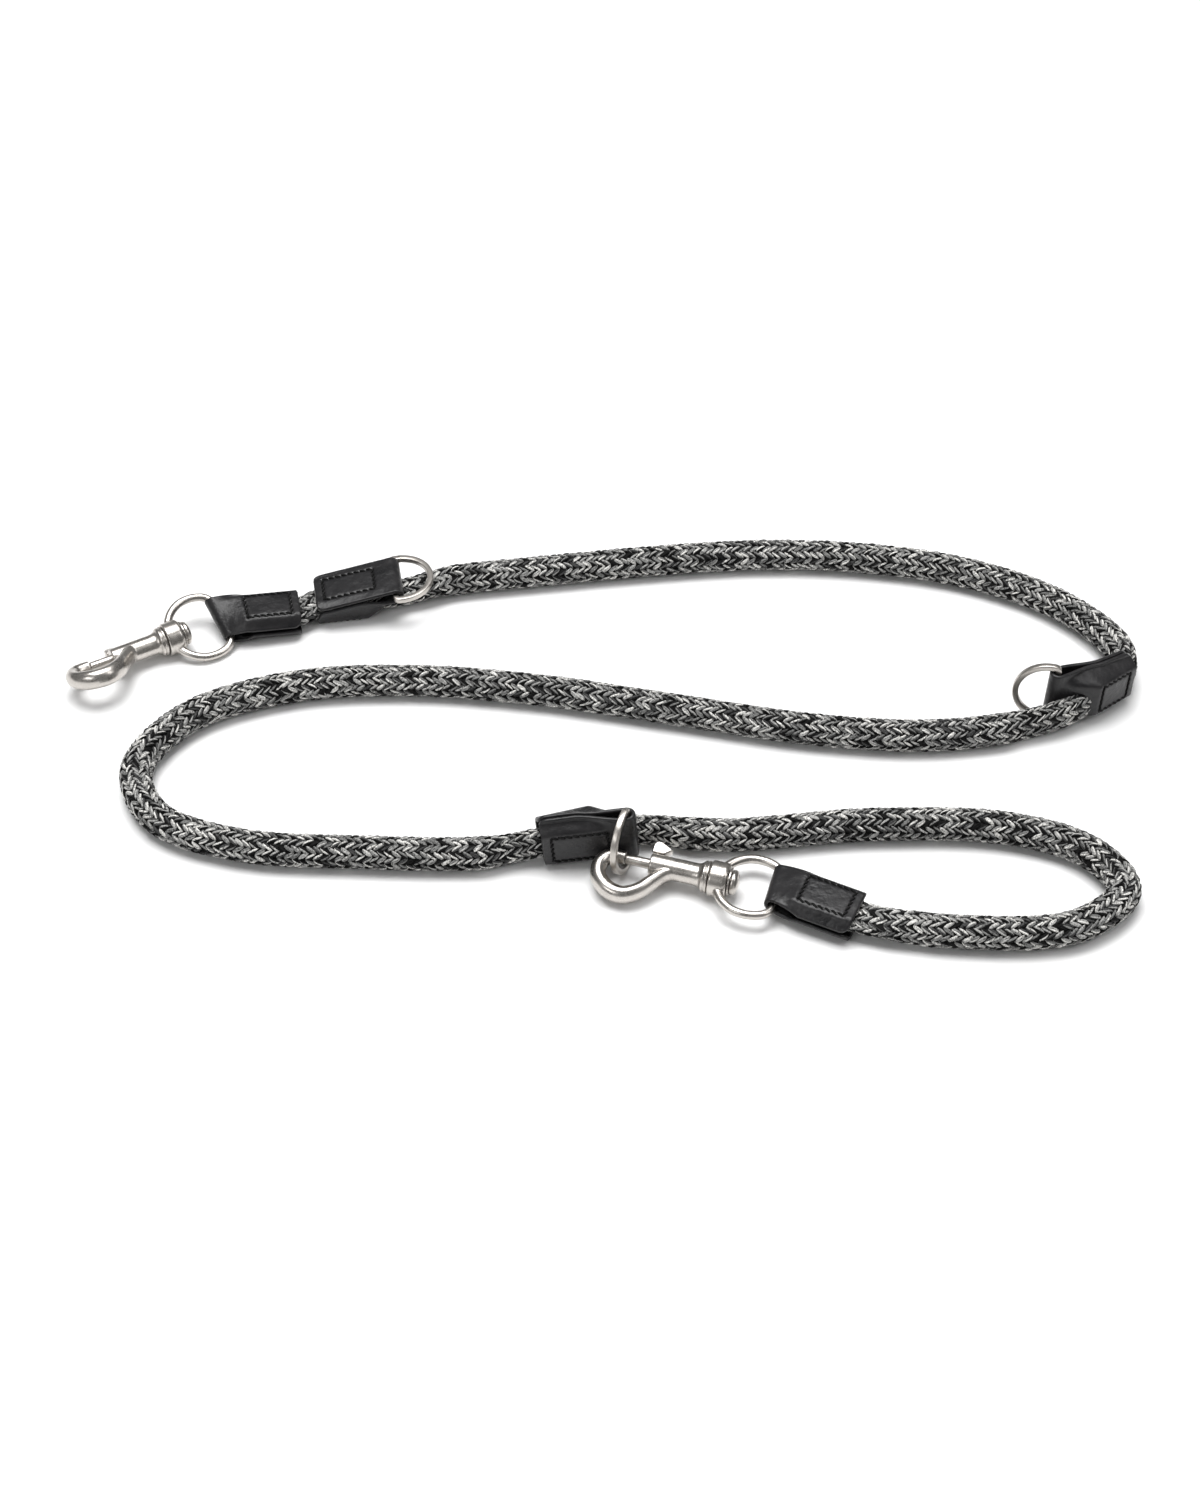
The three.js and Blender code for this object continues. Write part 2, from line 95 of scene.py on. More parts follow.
# straps: x from the open end to the fold, y across, z towards the ring side
STRAPS = {
    "lead_snap_strap": dict(at=(-143.5, 94.8, 6.8), heading=191, pitch=2.3, lean=0, edge=1.5,
                            rope_at=0, fold_width=0.84, skew=-19, twist=-20, keeper=False),
    "handle_snap_strap": dict(at=(110.2, -101.4, 6.8), heading=155.5, pitch=2.3, lean=0, edge=1.5,
                              rope_at=0, fold_width=0.84, skew=-9, twist=0, keeper=False),
    "lead_ring_keeper": dict(at=(-136.5, 101.8, 6.8), heading=9, pitch=0, lean=0, edge=4.6,
                             rope_at=0, fold_width=1, skew=0, twist=0, late=0.0, keeper=True),
    "middle_ring_keeper": dict(at=(243, 45.6, 14), heading=220, pitch=3.6, lean=90, edge=1.15,
                               rope_at=-1.6, fold_width=1, skew=0, twist=0, late=0.5, keeper=True),
    "handle_ring_keeper": dict(at=(-26.5, -61.5, 13.6), heading=13.8, pitch=4.5, lean=90, edge=1.15,
                               rope_at=-1.6, fold_width=1, skew=0, twist=0, late=0.5, keeper=True),
}
SNAPS = {
    "lead": dict(at=(-205.8, 72.7, 8.3), heading=30, pitch=0, roll=23, eye_roll=20),
    "handle": dict(at=(47.3, -79.6, 8.4), heading=-15.5, pitch=-1.7, roll=-12, eye_roll=0),
}
RING_TURN = {"lead": 3, "middle": 50, "handle": 125}
HOOK = [
    (-15, 1.2), (-19.5, 4), (-23.6, 8.8), (-28, 14.4), (-34.4, 18), (-41.4, 16.6),
    (-46.6, 11.4), (-47.6, 5.4), (-45.2, 0.9), (-41, -0.3), (NOSE_FACE, -0.3),
]
EYE_SIDE = [
    (4.2, 4.6), (5.8, 8.4), (9, 12.4), (13.6, 15.4), (18.6, 16.4), (23.6, 15.8), (27.6, 13.8), (29.7, 10.6),
]

# ---------- camera, floor and light ----------
scene = bpy.context.scene


def make_camera():
    data = bpy.data.cameras.new("camera")
    data.sensor_width = 36
    data.lens = 65.9
    data.clip_start = 0.02
    data.clip_end = 20
    camera = bpy.data.objects.new("camera", data)
    camera.location = (-0.0004, -0.8937, 0.880)
    camera.rotation_euler = (math.radians(45.5), 0, 0)
    scene.collection.objects.link(camera)
    scene.camera = camera


def area_light(name, place, target, size, power):
    data = bpy.data.lights.new(name, "AREA")
    data.shape = "RECTANGLE"
    data.size, data.size_y = size
    data.energy = power
    light = bpy.data.objects.new(name, data)
    light.location = place
    direction = Vector(target) - Vector(place)
    light.rotation_euler = direction.to_track_quat("-Z", "Y").to_euler()
    scene.collection.objects.link(light)


make_camera()


# ---------- numbers on arrays ----------
def unit(v):
    return v / np.maximum(np.linalg.norm(v, axis=-1, keepdims=True), 1e-9)


def smoothstep(x, low, high):
    t = np.clip((x - low) / (high - low), 0, 1)
    return t * t * (3 - 2 * t)


def catmull(points, per_span=24):
    """A centripetal Catmull-Rom curve through the points."""
    p = np.array(points, float)
    p = np.vstack([2 * p[0] - p[1], p, 2 * p[-1] - p[-2]])
    out = []
    for i in range(1, len(p) - 2):
        p0, p1, p2, p3 = p[i - 1:i + 3]
        gaps = [max(np.linalg.norm(b - a) ** 0.5, 1e-4) for a, b in ((p0, p1), (p1, p2), (p2, p3))]
        g0, g1, g2 = gaps
        t1 = ((p1 - p0) / g0 - (p2 - p0) / (g0 + g1) + (p2 - p1) / g1) * g1
        t2 = ((p2 - p1) / g1 - (p3 - p1) / (g1 + g2) + (p3 - p2) / g2) * g1
        t = np.linspace(0, 1, per_span, endpoint=False)[:, None]
        a = 2 * p1 - 2 * p2 + t1 + t2
        b = -3 * p1 + 3 * p2 - 2 * t1 - t2
        out.append(a * t ** 3 + b * t ** 2 + t1 * t + p1)
    out.append(p[-2][None])
    return np.vstack(out)


def lengths(line):
    return np.concatenate([[0], np.cumsum(np.linalg.norm(np.diff(line, axis=0), axis=1))])


def spaced(line, count):
    along = lengths(line)
    want = np.linspace(0, along[-1], count)
    return np.stack([np.interp(want, along, line[:, k]) for k in range(line.shape[1])], axis=1)


def frame_matrix(at, heading, pitch, lean):
    turn = Matrix.Rotation(math.radians(heading), 4, "Z") @ Matrix.Rotation(math.radians(-pitch), 4, "Y")
    turn = turn @ Matrix.Rotation(math.radians(lean), 4, "X")
    return np.array(Matrix.Translation(Vector(at) - Vector(ROW_ORIGIN)) @ turn)


def placed(points, matrix):
    return points @ matrix[:3, :3].T + matrix[:3, 3]


# ---------- meshes ----------
def make_mesh(name, points, face_groups):
    """A mesh from points in mm and arrays of faces that each have one number of corners."""
    mesh = bpy.data.meshes.new(name)
    groups = [np.asarray(g, dtype=np.int32) for g in face_groups if len(g)]
    totals = np.concatenate([np.full(len(g), g.shape[1], np.int32) for g in groups])
    loops = np.concatenate([g.ravel() for g in groups])
    mesh.vertices.add(len(points))
    mesh.vertices.foreach_set("co", (np.asarray(points) * MM).astype(np.float32).ravel())
    mesh.loops.add(len(loops))
    mesh.loops.foreach_set("vertex_index", loops)
    mesh.polygons.add(len(totals))
    mesh.polygons.foreach_set("loop_start", np.concatenate([[0], np.cumsum(totals)[:-1]]).astype(np.int32))
    mesh.polygons.foreach_set("use_smooth", np.ones(len(totals), bool))
    mesh.update(calc_edges=True)
    mesh.validate()
    return mesh


def make_object(name, mesh):
    obj = bpy.data.objects.new(name, mesh)
    scene.collection.objects.link(obj)
    return obj


def tube_mesh(centres, sides_x, sides_y, section, closed=False):
    """A section, [(x, y)] or one per ring, carried along centres on the two side vectors."""
    section = np.asarray(section, float)
    if section.ndim == 2:
        section = np.broadcast_to(section, (len(centres), *section.shape))
    rings = centres[:, None] + section[..., :1] * sides_x[:, None] + section[..., 1:] * sides_y[:, None]
    count, around = rings.shape[:2]
    here = np.arange(count - (0 if closed else 1))[:, None] * around
    there = (np.arange(1, count + (1 if closed else 0)) % count)[:, None] * around
    a = np.arange(around)[None]
    b = (a + 1) % around
    quads = np.stack([here + a, here + b, there + b, there + a], axis=-1).reshape(-1, 4)
    groups = [quads]
    if not closed:
        groups += [np.arange(around)[None, ::-1], (np.arange(around) + (count - 1) * around)[None]]
    return rings.reshape(-1, 3), groups


def circle(radius, sides):
    turn = np.arange(sides) / sides * 2 * math.pi
    return np.stack([radius * np.cos(turn), radius * np.sin(turn)], axis=1)


def lathe(profile, segments=64):
    """A body of revolution about x, from [(x, radius)] that starts and ends on the axis."""
    profile = np.array(profile, float)
    inner = profile[1:-1]
    turn = np.arange(segments) / segments * 2 * math.pi
    ring = np.stack([np.cos(turn), np.sin(turn)], axis=1)
    points = np.empty((len(inner), segments, 3))
    points[..., 0] = inner[:, :1]
    points[..., 1:] = inner[:, 1][:, None, None] * ring[None]
    ends = np.array([[profile[0, 0], 0, 0], [profile[-1, 0], 0, 0]])
    a = np.arange(segments)
    b = (a + 1) % segments
    here = np.arange(len(inner) - 1)[:, None] * segments
    there = here + segments
    quads = np.stack([here + b, here + a, there + a, there + b], axis=-1).reshape(-1, 4)
    first = len(inner) * segments
    last = (len(inner) - 1) * segments
    fans = np.vstack([
        np.stack([a, b, np.full(segments, first)], axis=1),
        np.stack([last + b, last + a, np.full(segments, first + 1)], axis=1),
    ])
    return np.vstack([points.reshape(-1, 3), ends]), [quads, fans]


def rounded(profile, radius=0.25, steps=4):
    """The profile with its corners cut to small arcs; its first and last points stay."""
    p = np.array(profile, float)
    out = [p[0]]
    for before, here, after in zip(p, p[1:], p[2:]):
        r1 = min(radius, np.linalg.norm(before - here) * 0.45)
        r2 = min(radius, np.linalg.norm(after - here) * 0.45)
        a = here + (before - here) / max(np.linalg.norm(before - here), 1e-9) * r1
        b = here + (after - here) / max(np.linalg.norm(after - here), 1e-9) * r2
        for t in np.linspace(0, 1, steps):
            out.append((1 - t) ** 2 * a + 2 * t * (1 - t) * here + t * t * b)
    out.append(p[-1])
    return np.array(out)


def joined(*parts):
    points, faces = [], []
    start = 0
    for verts, groups in parts:
        points.append(verts)
        faces += [np.asarray(g) + start for g in groups]
        start += len(verts)
    return np.vstack(points), faces


def baked(obj, name):
    """The object's mesh with its modifiers applied; the object itself goes."""
    graph = bpy.context.evaluated_depsgraph_get()
    mesh = bpy.data.meshes.new_from_object(obj.evaluated_get(graph))
    mesh.name = name
    bpy.data.objects.remove(obj)
    return mesh


def shade_smooth(mesh, angle):
    mesh.polygons.foreach_set("use_smooth", np.ones(len(mesh.polygons), bool))
    mesh.set_sharp_from_angle(angle=math.radians(angle))


def fused(name, shell, voxel, relax, cuts=()):
    """The shells as one casting: voxel remesh, relaxed, then the cuts taken out."""
    obj = make_object(name, make_mesh(name, *shell))
    remesh = obj.modifiers.new("fuse", "REMESH")
    remesh.mode = "VOXEL"
    remesh.voxel_size = voxel * MM
    soft = obj.modifiers.new("relax", "SMOOTH")
    soft.factor = 0.5
    soft.iterations = relax
    return cut_out(make_object(name, baked(obj, name)), name, cuts)


def cut_out(obj, name, cuts):
    for i, cut in enumerate(cuts):
        tool = make_object(f"{name}_cut{i}", make_mesh(f"{name}_cut{i}", *cut))
        difference = obj.modifiers.new("cut", "BOOLEAN")
        difference.operation = "DIFFERENCE"
        difference.solver = "EXACT"
        difference.object = tool
        obj = make_object(name, baked(obj, name))
        bpy.data.objects.remove(tool)
    mesh = obj.data
    bpy.data.objects.remove(obj)
    return mesh


# ---------- materials ----------
def new_material(name, colour, roughness, metallic=0.0):
    material = bpy.data.materials.new(name)
    material.use_nodes = True
    material.diffuse_color = (*colour, 1)
    shader = material.node_tree.nodes["Principled BSDF"]
    shader.inputs["Base Color"].default_value = (*colour, 1)
    shader.inputs["Roughness"].default_value = roughness
    shader.inputs["Metallic"].default_value = metallic
    return material, material.node_tree, shader


def node(tree, kind, inputs=None, **fields):
    made = tree.nodes.new(kind)
    for key, value in fields.items():
        setattr(made, key, value)
    for key, value in (inputs or {}).items():
        if isinstance(value, bpy.types.NodeSocket):
            tree.links.new(value, made.inputs[key])
        else:
            made.inputs[key].default_value = value
    return made


def noise_of(tree, vector, scale, detail=4.0, rough=0.55):
    return node(tree, "ShaderNodeTexNoise", {"Vector": vector, "Scale": scale, "Detail": detail,
                                             "Roughness": rough}).outputs["Fac"]


def ramp_of(tree, fac, stops):
    made = node(tree, "ShaderNodeValToRGB", {"Fac": fac})
    ramp = made.color_ramp
    while len(ramp.elements) < len(stops):
        ramp.elements.new(0.5)
    for element, (place, value) in zip(ramp.elements, stops):
        element.position = place
        element.color = (*value, 1) if isinstance(value, tuple) else (value, value, value, 1)
    return made.outputs["Color"]


def range_of(tree, value, low, high, to_low, to_high):
    return node(tree, "ShaderNodeMapRange", {"Value": value, "From Min": low, "From Max": high,
                                             "To Min": to_low, "To Max": to_high}).outputs["Result"]


def bump_of(tree, height, strength, distance, before=None):
    inputs = {"Height": height, "Strength": strength, "Distance": distance}
    if before is not None:
        inputs["Normal"] = before
    return node(tree, "ShaderNodeBump", inputs).outputs["Normal"]


def object_place(tree):
    return node(tree, "ShaderNodeTexCoord").outputs["Object"]


def nickel_material(name, colour, roughness, brushed):
    material, tree, shader = new_material(name, colour, roughness, 1.0)
    place = object_place(tree)
    cloud = noise_of(tree, place, 160, 5)
    fine = noise_of(tree, place, 2600, 3)
    stretched = node(tree, "ShaderNodeMapping", {"Vector": place, "Scale": (1.0, 9.0, 9.0)}).outputs["Vector"]
    lines = noise_of(tree, stretched, 700, 3)
    tone = ramp_of(tree, cloud, [(0.25, tuple(c * 0.86 for c in colour)), (0.7, colour)])
    tree.links.new(tone, shader.inputs["Base Color"])
    mixed = node(tree, "ShaderNodeMath", {0: cloud, 1: fine}, operation="ADD").outputs[0]
    rough = range_of(tree, mixed, 0.6, 1.4, roughness - 0.06, roughness + 0.09)
    tree.links.new(rough, shader.inputs["Roughness"])
    normal = bump_of(tree, lines, brushed, 0.00003)
    normal = bump_of(tree, cloud, 0.05, 0.0004, normal)
    tree.links.new(normal, shader.inputs["Normal"])
    return material


def leather_material():
    material, tree, shader = new_material("black_leather", (0.012, 0.012, 0.013), 0.42)
    place = object_place(tree)
    cloud = noise_of(tree, place, 90, 4)
    pores = noise_of(tree, place, 3800, 4, 0.6)
    cells = node(tree, "ShaderNodeTexVoronoi", {"Vector": place, "Scale": 1500.0}, feature="DISTANCE_TO_EDGE")
    creases = noise_of(tree, place, 420, 5, 0.6)
    tone = ramp_of(tree, cloud, [(0.3, (0.008, 0.008, 0.009)), (0.75, (0.021, 0.020, 0.021))])
    tree.links.new(tone, shader.inputs["Base Color"])
    both = node(tree, "ShaderNodeMath", {0: cloud, 1: pores}, operation="ADD").outputs[0]
    tree.links.new(range_of(tree, both, 0.6, 1.4, 0.24, 0.44), shader.inputs["Roughness"])
    grain = ramp_of(tree, cells.outputs["Distance"], [(0.0, 0.0), (0.12, 1.0)])
    normal = bump_of(tree, grain, 0.10, 0.00006)
    normal = bump_of(tree, pores, 0.10, 0.00005, normal)
    normal = bump_of(tree, creases, 0.22, 0.0003, normal)
    normal = bump_of(tree, noise_of(tree, place, 170, 3), 0.5, 0.0012, normal)
    tree.links.new(normal, shader.inputs["Normal"])
    shader.inputs["Specular IOR Level"].default_value = 0.34
    return material


def thread_material():
    material, tree, shader = new_material("black_thread", (0.008, 0.008, 0.009), 0.7)
    shader.inputs["Specular IOR Level"].default_value = 0.12
    place = object_place(tree)
    fuzz = noise_of(tree, place, 3000, 3)
    tree.links.new(ramp_of(tree, fuzz, [(0.3, 0.003), (0.75, 0.014)]), shader.inputs["Base Color"])
    tree.links.new(bump_of(tree, fuzz, 0.5, 0.0001), shader.inputs["Normal"])
    return material


def yarn_material(name, from_attribute):
    material, tree, shader = new_material(name, (0.03, 0.03, 0.031), 0.9)
    place = object_place(tree)
    fibre = noise_of(tree, place, 1500, 4, 0.65)
    if from_attribute:
        tones = node(tree, "ShaderNodeAttribute", attribute_name="yarn", attribute_type="GEOMETRY")
        base = tones.outputs["Color"]
        shade = ramp_of(tree, fibre, [(0.36, 0.05), (0.48, 0.80), (0.7, 1.2)])
        mix = node(tree, "ShaderNodeMix", data_type="RGBA", blend_type="MULTIPLY")
        mix.inputs[0].default_value = 1.0
        tree.links.new(base, mix.inputs[6])
        tree.links.new(shade, mix.inputs[7])
        tree.links.new(mix.outputs[2], shader.inputs["Base Color"])
    else:
        # without the attribute the yarn is near black; on the cover's ground this is painted shade in the
        # gaps between stitches
        tree.links.new(ramp_of(tree, fibre, [(0.3, 0.004), (0.7, 0.022)]), shader.inputs["Base Color"])
    tree.links.new(bump_of(tree, fibre, 0.45, 0.00015), shader.inputs["Normal"])
    shader.inputs["Specular IOR Level"].default_value = 0.12
    return material


def floor_material():
    material, tree, shader = new_material("pale_floor", (0.9, 0.9, 0.9), 0.85)
    tone = ramp_of(tree, noise_of(tree, object_place(tree), 3, 3), [(0.3, 0.895), (0.7, 0.905)])
    tree.links.new(tone, shader.inputs["Base Color"])
    shader.inputs["Specular IOR Level"].default_value = 0.2
    return material


NICKEL = nickel_material("satin_nickel_cast", (0.57, 0.54, 0.505), 0.27, 0.25)
RING_NICKEL = nickel_material("satin_nickel_ring", (0.53, 0.50, 0.465), 0.30, 0.35)
STEEL = nickel_material("spring_wire", (0.55, 0.55, 0.56), 0.25, 0.1)
HIDE = leather_material()
THREAD = thread_material()
YARN = yarn_material("marled_yarn", True)
# the cover's ground is painted near black: painted shade between the stitches
PAINTED_SHADE_YARN = yarn_material("painted_shade_yarn", False)
CORE_YARN = yarn_material("core_yarn", False)


def piece(name, mesh, material, body, slot, *nodes):
    obj = mesh if isinstance(mesh, bpy.types.Object) else make_object(name, mesh)
    obj.data.materials.clear()
    obj.data.materials.append(material)
    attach(obj, body)
    if nodes:
        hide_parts(*nodes)
    return obj


# ---------- the rope ----------
CENTRE_STATIONS = 3200
NEAR_ACROSS = 16  # half of a strap's reach across the rope and above it, for the rope's flattening
NEAR_ABOVE = 14
FLAT_START = 12  # outside a strap the rope is flat to here, and round again from FLAT_STOP
FLAT_STOP = 26
STRAP_MATRIX = {n: frame_matrix(s["at"], s["heading"], s["pitch"], s["lean"]) for n, s in STRAPS.items()}
CENTRE = spaced(catmull(ROUTE) - ROW_ORIGIN, CENTRE_STATIONS)
ROPE_LENGTH = lengths(CENTRE)[-1]
ALONG = np.linspace(0, ROPE_LENGTH, len(CENTRE))
TANGENT = unit(np.gradient(CENTRE, axis=0))
SIDE = unit(np.cross(TANGENT, [0, 0, 1]))
UP = np.cross(SIDE, TANGENT)


def at_length(table, s):
    return np.stack([np.interp(s, ALONG, table[:, k]) for k in range(3)], axis=-1)


def squeeze(points, centres):
    """Leather flattens the rope along a strap's z and widens it along the strap's y."""
    offset = points - centres
    moved = points.copy()
    free = np.ones(len(points), bool)
    for matrix in STRAP_MATRIX.values():
        local = (centres - matrix[:3, 3]) @ matrix[:3, :3]
        near = free & (np.abs(local[:, 1]) <= NEAR_ACROSS) & (np.abs(local[:, 2]) <= NEAR_ABOVE)
        outside = np.maximum(np.maximum(-local[:, 0], local[:, 0] - KEEPER_L), 0)
        share = np.where(near, 1 - smoothstep(outside, FLAT_START, FLAT_STOP), 0)
        for column, scale in ((1, ROPE_WIDE_R / ROPE_R - 1), (2, ROPE_FLAT_R / ROPE_R - 1)):
            axis = matrix[:3, column]
            moved += (share * scale * (offset @ axis))[:, None] * axis
        free &= share <= 0
    return moved


def rope_tube(radius, sides, step, start=0.0, stop=None):
    stop = ROPE_LENGTH if stop is None else stop
    s = np.linspace(start, stop, max(3, int((stop - start) / step)))
    centres = at_length(CENTRE, s)
    points, groups = tube_mesh(centres, at_length(SIDE, s), at_length(UP, s), circle(radius, sides))
    return squeeze(points, np.repeat(centres, sides, axis=0)), groups


def stretch_of(name):
    """Where along the rope the strap's open end and fold come."""
    matrix = STRAP_MATRIX[name]
    local = (CENTRE - matrix[:3, 3]) @ matrix[:3, :3]
    near = (np.abs(local[:, 1]) < NEAR_ACROSS) & (np.abs(local[:, 2]) < NEAR_ABOVE)
    near &= (local[:, 0] > -14) & (local[:, 0] < KEEPER_L + 14)
    return ALONG[near].min(), ALONG[near].max()


COLUMNS = 14
ROW_PITCH = 3.1
STITCH_RUN = 2.15  # half a stitch's length along the rope
STITCH_REACH = 1.10  # its width, of a column's
PLY_R = 0.55
PLY_OFFSET = 0.43
STITCH_RINGS = 6
STITCH_SIDES = 5
STITCH_MIDDLE_R = 6.22  # from the rope's middle to a stitch's, at its ends
STITCH_CROWN = 0.72  # how much further out its own middle is
STRETCHES = 6
PRESSED_Z = 0.6  # stitches lower than this are pressed towards the table
TONE_STEPS = [0.20, 0.36, 0.60, 0.83]
PALETTE = np.array([
    [0.78, 0.77, 0.74], [0.46, 0.457, 0.445], [0.24, 0.24, 0.235],
    [0.075, 0.075, 0.075], [0.012, 0.012, 0.012],
])


def knit_stretch(number, rng):
    """The knitted cover's stitches along one stretch: two plies each, slanted one way in a column."""
    rows = int(ROPE_LENGTH / ROW_PITCH)
    mine = np.arange(rows * number // STRETCHES, rows * (number + 1) // STRETCHES)
    row, column = np.meshgrid(mine, np.arange(COLUMNS), indexing="ij")
    row, column = row.ravel(), column.ravel()
    count = len(row)
    slant = np.where(column % 2 == 0, 1.0, -1.0)
    middle = (row + 0.5 + 0.5 * (column // 2 % 2)) * ROW_PITCH + rng.normal(0, 0.12, count)
    middle = np.clip(middle, STITCH_RUN + 0.3, ROPE_LENGTH - STITCH_RUN - 0.3)
    drift = 0.35 * np.sin(middle / 140.0 + 0.8) + 0.18 * np.sin(middle / 47.0)
    angle = (column + 0.5) / COLUMNS * 2 * math.pi + drift + rng.normal(0, 0.018, count)
    # light and dark lengths of the marled yarn follow each other from stitch to stitch
    share = row * 0.618 + column * 0.414 + 0.9 * np.sin(middle / 31.0 + column * 1.7)
    share = share + rng.normal(0, 0.10, count)
    t = np.linspace(-1, 1, STITCH_RINGS)
    half_turn = STITCH_REACH * math.pi / COLUMNS
    profile = np.sqrt(np.clip(1.06 - t ** 2, 0.02, 1)) ** 0.8
    shape = []
    colours = []
    for ply in range(2):
        phase = rng.uniform(-0.5, 0.5, count) + (0 if ply == 0 else math.pi)
        turn = phase[:, None] + 1.15 * t[None]
        size = PLY_R * rng.uniform(0.88, 1.08, count)
        across = PLY_OFFSET * np.cos(turn) * (1 - 0.35 * t[None] ** 2)
        deep = PLY_OFFSET * 0.55 * np.sin(turn)
        run = STITCH_RUN * (t + 0.10 * np.sin(math.pi * t))
        slope = math.atan2(half_turn * ROPE_R, STITCH_RUN)
        s = middle[:, None] + run[None] - across * math.sin(slope)
        theta = angle[:, None] + slant[:, None] * (half_turn * t[None] + across * math.cos(slope) / ROPE_R)
        radius = STITCH_MIDDLE_R + STITCH_CROWN * (1 - t[None] ** 2) + deep
        radius = radius + rng.normal(0, 0.05, count)[:, None]
        s_clip = np.clip(s, 0, ROPE_LENGTH)
        centre = at_length(CENTRE, s_clip)
        outward = (np.cos(theta)[..., None] * at_length(SIDE, s_clip)
                   + np.sin(theta)[..., None] * at_length(UP, s_clip))
        line = centre + radius[..., None] * outward
        tangent = unit(np.gradient(line, axis=1))
        flat = unit(np.cross(tangent, outward))
        lift = np.cross(flat, tangent)
        around = np.arange(STITCH_SIDES) / STITCH_SIDES * 2 * math.pi
        thick = (size[:, None] * profile[None])[..., None, None]
        ring = np.cos(around)[:, None] * flat[:, :, None] + np.sin(around)[:, None] * lift[:, :, None]
        points = line[:, :, None] + thick * ring
        shape.append((points, np.broadcast_to(centre[:, :, None], points.shape)))
        level = (share + 0.31 * ply + rng.normal(0, 0.12, count)) % 1
        tone = np.digitize(level, TONE_STEPS)
        mixed = PALETTE[4 - tone] * rng.uniform(0.85, 1.15, count)[:, None]
        colours.append(np.repeat(mixed, STITCH_RINGS * STITCH_SIDES, axis=0))
    # stitches well inside the leather aren't seen
    seen = np.ones(count, bool)
    place = at_length(CENTRE, middle)
    for name, matrix in STRAP_MATRIX.items():
        local = (place - matrix[:3, 3]) @ matrix[:3, :3]
        deepest = 17 if STRAPS[name]["keeper"] else 60
        inside = (np.abs(local[:, 1]) < 12) & (np.abs(local[:, 2]) < 9)
        seen &= ~(inside & (local[:, 0] > 6) & (local[:, 0] < deepest))
    verts = np.concatenate([p[seen].reshape(-1, 3) for p, _ in shape])
    middles = np.concatenate([c[seen].reshape(-1, 3) for _, c in shape])
    keep = np.repeat(seen, STITCH_RINGS * STITCH_SIDES)
    colour = np.concatenate([c[keep] for c in colours])
    strands = 2 * int(seen.sum())
    per = STITCH_RINGS * STITCH_SIDES
    start = np.arange(strands)[:, None, None] * per
    ring_at = np.arange(STITCH_RINGS - 1)[None, :, None] * STITCH_SIDES
    a = np.arange(STITCH_SIDES)[None, None]
    b = (a + 1) % STITCH_SIDES
    quads = np.stack([start + ring_at + a, start + ring_at + STITCH_SIDES + a,
                      start + ring_at + STITCH_SIDES + b, start + ring_at + b], axis=-1).reshape(-1, 4)
    first = np.arange(strands)[:, None] * per + np.arange(STITCH_SIDES)[None]
    last = first[:, ::-1] + per - STITCH_SIDES
    laid = squeeze(verts, middles)
    under = laid[:, 2] < PRESSED_Z
    laid[under, 2] = PRESSED_Z * np.exp(laid[under, 2] / PRESSED_Z - 1)
    mesh = make_mesh(f"rope_knit_{number + 1}", laid, [quads, first, last])
    layer = mesh.attributes.new("yarn", "FLOAT_COLOR", "POINT")
    rgba = np.ones((len(verts), 4), np.float32)
    rgba[:, :3] = colour
    layer.data.foreach_set("color", rgba.ravel())
    return mesh


rng = np.random.default_rng(11)
knit = [piece(f"rope_knit_{i + 1}", knit_stretch(i, rng), YARN, "leash", "rope_cover")
        for i in range(STRETCHES)]
core = piece("rope_core_yarns", make_mesh("rope_core_yarns", *rope_tube(4.0, 16, 3.0)),
             CORE_YARN, "leash", "rope_core", "rope_core")
# the cover's ground under the stitches, near black: painted shade in the gaps between stitches
ground = piece("rope_cover_ground", make_mesh("rope_cover_ground", *rope_tube(6.35, 28, 1.6)),
               PAINTED_SHADE_YARN, "leash", "rope_cover", "rope_cover")


# ---------- leather ----------
STITCH_RECT = {False: (4.2, 25.5, 7.4), True: (4.4, 29.0, 7.2)}
STITCH_GAP = 2.9
CORNER_R = 4.3
EDGE_ROUND = 0.75
CLOSED = 2.3  # between the two layers' middles where they meet
UPPER_FROM = {False: 0.5, True: 0.56}  # the fold's place along the leather


def fold_line(keeper):
    """The middle of the leather's thickness, x and z, from the lower open end round the bar to the upper."""
    flat = HALF_T - LEATHER / 2
    bend = FOLD_R - LEATHER / 2
    if keeper:
        bar = KEEPER_L - FOLD_R
        turn = np.linspace(-math.pi / 2, math.pi / 2, 24)
        arc = [(bar + bend * math.cos(a), BAR_LIFT + bend * math.sin(a)) for a in turn]
        line = [(0, -flat), (HOLE_T, -flat), *arc, (0, flat)]
    else:
        bar = WRAP_L - FOLD_R
        turn = np.linspace(-math.pi / 2, math.pi / 2, 24)
        arc = [(bar + bend * math.cos(a), bend * math.sin(a)) for a in turn]
        line = [(0, -flat), (27, -flat), *arc, (27, flat), (0, flat)]
    line = np.array(line)
    total = lengths(line)[-1]
    fine = spaced(line, int(total / 0.25))
    kernel = np.exp(-0.5 * (np.arange(-8, 9) / 3.2) ** 2)
    kernel /= kernel.sum()
    padded = np.vstack([2 * fine[0] - fine[8:0:-1], fine, 2 * fine[-1] - fine[-2:-10:-1]])
    return np.stack([np.convolve(padded[:, k], kernel, "valid") for k in range(2)], axis=1)


